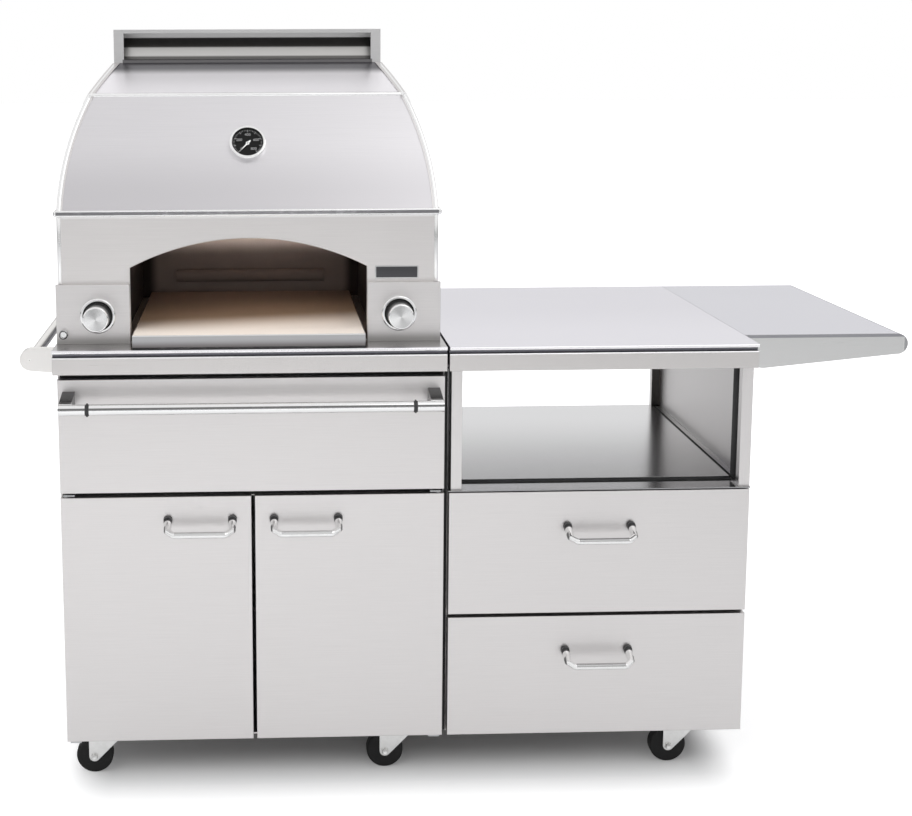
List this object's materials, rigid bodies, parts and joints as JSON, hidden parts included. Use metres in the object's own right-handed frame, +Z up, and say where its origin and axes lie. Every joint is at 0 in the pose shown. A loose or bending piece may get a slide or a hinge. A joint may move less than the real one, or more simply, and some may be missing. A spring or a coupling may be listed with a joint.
{
  "type": "pizza oven cart",
  "caption": "Gas pizza oven with an arched mouth and domed hood on a rolling cabinet cart with doors, drawers, an open bay, a push handle and a fold-down side shelf.",
  "frame": {"origin": "on the floor under the middle of the whole cart's box", "axes": "+X along the cart from the push handle to the folding shelf, +Y from the doors to the back, +Z up"},
  "size_m": [1.7778, 0.826, 1.515],
  "materials": {
    "brushed_stainless": "fine brushed stainless steel",
    "cabinet_steel": "brushed stainless sheet",
    "plain_steel": "plain galvanised sheet",
    "oven_steel": "heat-resistant stainless steel",
    "zinc_plate": "bright zinc plate",
    "chrome": "polished chrome",
    "black_tread": "hard black rubber",
    "dark_seal": "heat-proof seal",
    "hearth_ceramic": "fired ceramic",
    "vault_ceramic": "sooted refractory",
    "brass_fitting": "plain brass",
    "black_dial": "matt black enamel with pale marks",
    "white_needle": "white paint"
  },
  "bodies": {
    "cart": {"bay_floor": "cabinet_steel", "cabinet_backs": "cabinet_steel", "cabinet_floors": "cabinet_steel", "cabinet_side_panels": "cabinet_steel", "caster_plates": "zinc_plate", "control_bezels": "chrome", "control_panels": "brushed_stainless", "door_pivots": "plain_steel", "drawer_runners": "plain_steel", "flue_box": "oven_steel", "frame_members": "cabinet_steel", "gas_train": "brass_fitting", "hearth_sill": "brushed_stainless", "hearth_stone": "hearth_ceramic", "hood_front": "brushed_stainless", "hood_seal": "dark_seal", "hood_shell_panels": "brushed_stainless", "left_countertop": "brushed_stainless", "oven_base": "oven_steel", "oven_body_panels": "brushed_stainless", "oven_front_fascia": "brushed_stainless", "oven_vault": "vault_ceramic", "push_handle": "chrome", "rear_burner": "oven_steel", "right_countertop": "brushed_stainless", "side_shelf_brackets": "plain_steel", "thermometer_case": "chrome", "thermometer_dial": "black_dial"},
    "left_plunger": {"left_valve_plunger": "brass_fitting"},
    "left_knob": {"left_knob": "chrome"},
    "right_plunger": {"right_valve_plunger": "brass_fitting"},
    "right_knob": {"right_knob": "chrome"},
    "push_button": {"push_button": "chrome"},
    "needle": {"thermometer_needle": "white_needle"},
    "wide_drawer": {"wide_drawer_front": "brushed_stainless", "wide_drawer_box": "plain_steel", "wide_drawer_handle": "chrome"},
    "upper_drawer": {"upper_drawer_front": "brushed_stainless", "upper_drawer_box": "plain_steel", "upper_drawer_handle": "chrome"},
    "lower_drawer": {"lower_drawer_front": "brushed_stainless", "lower_drawer_box": "plain_steel", "lower_drawer_handle": "chrome"},
    "left_door": {"left_door": "brushed_stainless", "left_door_handle": "chrome"},
    "right_door": {"right_door": "brushed_stainless", "right_door_handle": "chrome"},
    "side_shelf": {"side_shelf": "brushed_stainless"},
    "front_left_fork": {"caster_fork_front_left": "zinc_plate"},
    "front_left_wheel": {"caster_wheel_front_left": "black_tread"},
    "front_middle_fork": {"caster_fork_front_middle": "zinc_plate"},
    "front_middle_wheel": {"caster_wheel_front_middle": "black_tread"},
    "front_right_fork": {"caster_fork_front_right": "zinc_plate"},
    "front_right_wheel": {"caster_wheel_front_right": "black_tread"},
    "rear_left_fork": {"caster_fork_rear_left": "zinc_plate"},
    "rear_left_wheel": {"caster_wheel_rear_left": "black_tread"},
    "rear_middle_fork": {"caster_fork_rear_middle": "zinc_plate"},
    "rear_middle_wheel": {"caster_wheel_rear_middle": "black_tread"},
    "rear_right_fork": {"caster_fork_rear_right": "zinc_plate"},
    "rear_right_wheel": {"caster_wheel_rear_right": "black_tread"}
  },
  "joints": [
    {"name": "left_knob_push", "type": "slide", "parent": "cart", "child": "left_plunger", "axis": [0, 1, 0], "range_m": [0, 0.003], "stiffness_N_per_m": 600},
    {"name": "left_knob_turn", "type": "hinge", "parent": "left_plunger", "child": "left_knob", "pos_m": [-0.7389, -0.326, 0.957], "axis": [0, -1, 0], "range_deg": [0, 200]},
    {"name": "right_knob_push", "type": "slide", "parent": "cart", "child": "right_plunger", "axis": [0, 1, 0], "range_m": [0, 0.003], "stiffness_N_per_m": 600},
    {"name": "right_knob_turn", "type": "hinge", "parent": "right_plunger", "child": "right_knob", "pos_m": [-0.1459, -0.326, 0.957], "axis": [0, -1, 0], "range_deg": [0, 200]},
    {"name": "button_press", "type": "slide", "parent": "cart", "child": "push_button", "axis": [0, 1, 0], "range_m": [0, 0.0015], "stiffness_N_per_m": 300},
    {"name": "needle_turn", "type": "hinge", "parent": "cart", "child": "needle", "pos_m": [-0.4424, -0.18584, 1.286], "axis": [0, 0.8558, -0.5173], "range_deg": [0, 264], "stiffness_Nm_per_rad": 0.004},
    {"name": "wide_drawer_slide", "type": "slide", "parent": "cart", "child": "wide_drawer", "axis": [0, -1, 0], "range_m": [0, 0.45]},
    {"name": "upper_drawer_slide", "type": "slide", "parent": "cart", "child": "upper_drawer", "axis": [0, -1, 0], "range_m": [0, 0.45]},
    {"name": "lower_drawer_slide", "type": "slide", "parent": "cart", "child": "lower_drawer", "axis": [0, -1, 0], "range_m": [0, 0.45]},
    {"name": "left_door_swing", "type": "hinge", "parent": "cart", "child": "left_door", "pos_m": [-0.8049, -0.318, 0.097], "axis": [0, 0, -1], "range_deg": [0, 105]},
    {"name": "right_door_swing", "type": "hinge", "parent": "cart", "child": "right_door", "pos_m": [-0.0709, -0.318, 0.097], "axis": [0, 0, 1], "range_deg": [0, 75]},
    {"name": "side_shelf_fold", "type": "hinge", "parent": "cart", "child": "side_shelf", "pos_m": [0.5959, 0, 0.87], "axis": [0, 1, 0], "range_deg": [0, 90]},
    {"name": "front_left_swivel", "type": "hinge", "parent": "cart", "child": "front_left_fork", "pos_m": [-0.7409, -0.251, 0.083], "axis": [0, 0, 1], "continuous": true},
    {"name": "front_left_spin", "type": "hinge", "parent": "front_left_fork", "child": "front_left_wheel", "pos_m": [-0.7689, -0.251, 0.0375], "axis": [0, 1, 0], "continuous": true},
    {"name": "front_middle_swivel", "type": "hinge", "parent": "cart", "child": "front_middle_fork", "pos_m": [-0.1429, -0.251, 0.083], "axis": [0, 0, 1], "continuous": true},
    {"name": "front_middle_spin", "type": "hinge", "parent": "front_middle_fork", "child": "front_middle_wheel", "pos_m": [-0.1709, -0.251, 0.0375], "axis": [0, 1, 0], "continuous": true},
    {"name": "front_right_swivel", "type": "hinge", "parent": "cart", "child": "front_right_fork", "pos_m": [0.4481, -0.251, 0.083], "axis": [0, 0, 1], "continuous": true},
    {"name": "front_right_spin", "type": "hinge", "parent": "front_right_fork", "child": "front_right_wheel", "pos_m": [0.4201, -0.251, 0.0375], "axis": [0, 1, 0], "continuous": true},
    {"name": "rear_left_swivel", "type": "hinge", "parent": "cart", "child": "rear_left_fork", "pos_m": [-0.7409, 0.324, 0.083], "axis": [0, 0, 1], "continuous": true},
    {"name": "rear_left_spin", "type": "hinge", "parent": "rear_left_fork", "child": "rear_left_wheel", "pos_m": [-0.7689, 0.324, 0.0375], "axis": [0, 1, 0], "continuous": true},
    {"name": "rear_middle_swivel", "type": "hinge", "parent": "cart", "child": "rear_middle_fork", "pos_m": [-0.1429, 0.324, 0.083], "axis": [0, 0, 1], "continuous": true},
    {"name": "rear_middle_spin", "type": "hinge", "parent": "rear_middle_fork", "child": "rear_middle_wheel", "pos_m": [-0.1709, 0.324, 0.0375], "axis": [0, 1, 0], "continuous": true},
    {"name": "rear_right_swivel", "type": "hinge", "parent": "cart", "child": "rear_right_fork", "pos_m": [0.4481, 0.324, 0.083], "axis": [0, 0, 1], "continuous": true},
    {"name": "rear_right_spin", "type": "hinge", "parent": "rear_right_fork", "child": "rear_right_wheel", "pos_m": [0.4201, 0.324, 0.0375], "axis": [0, 1, 0], "continuous": true}
  ]
}
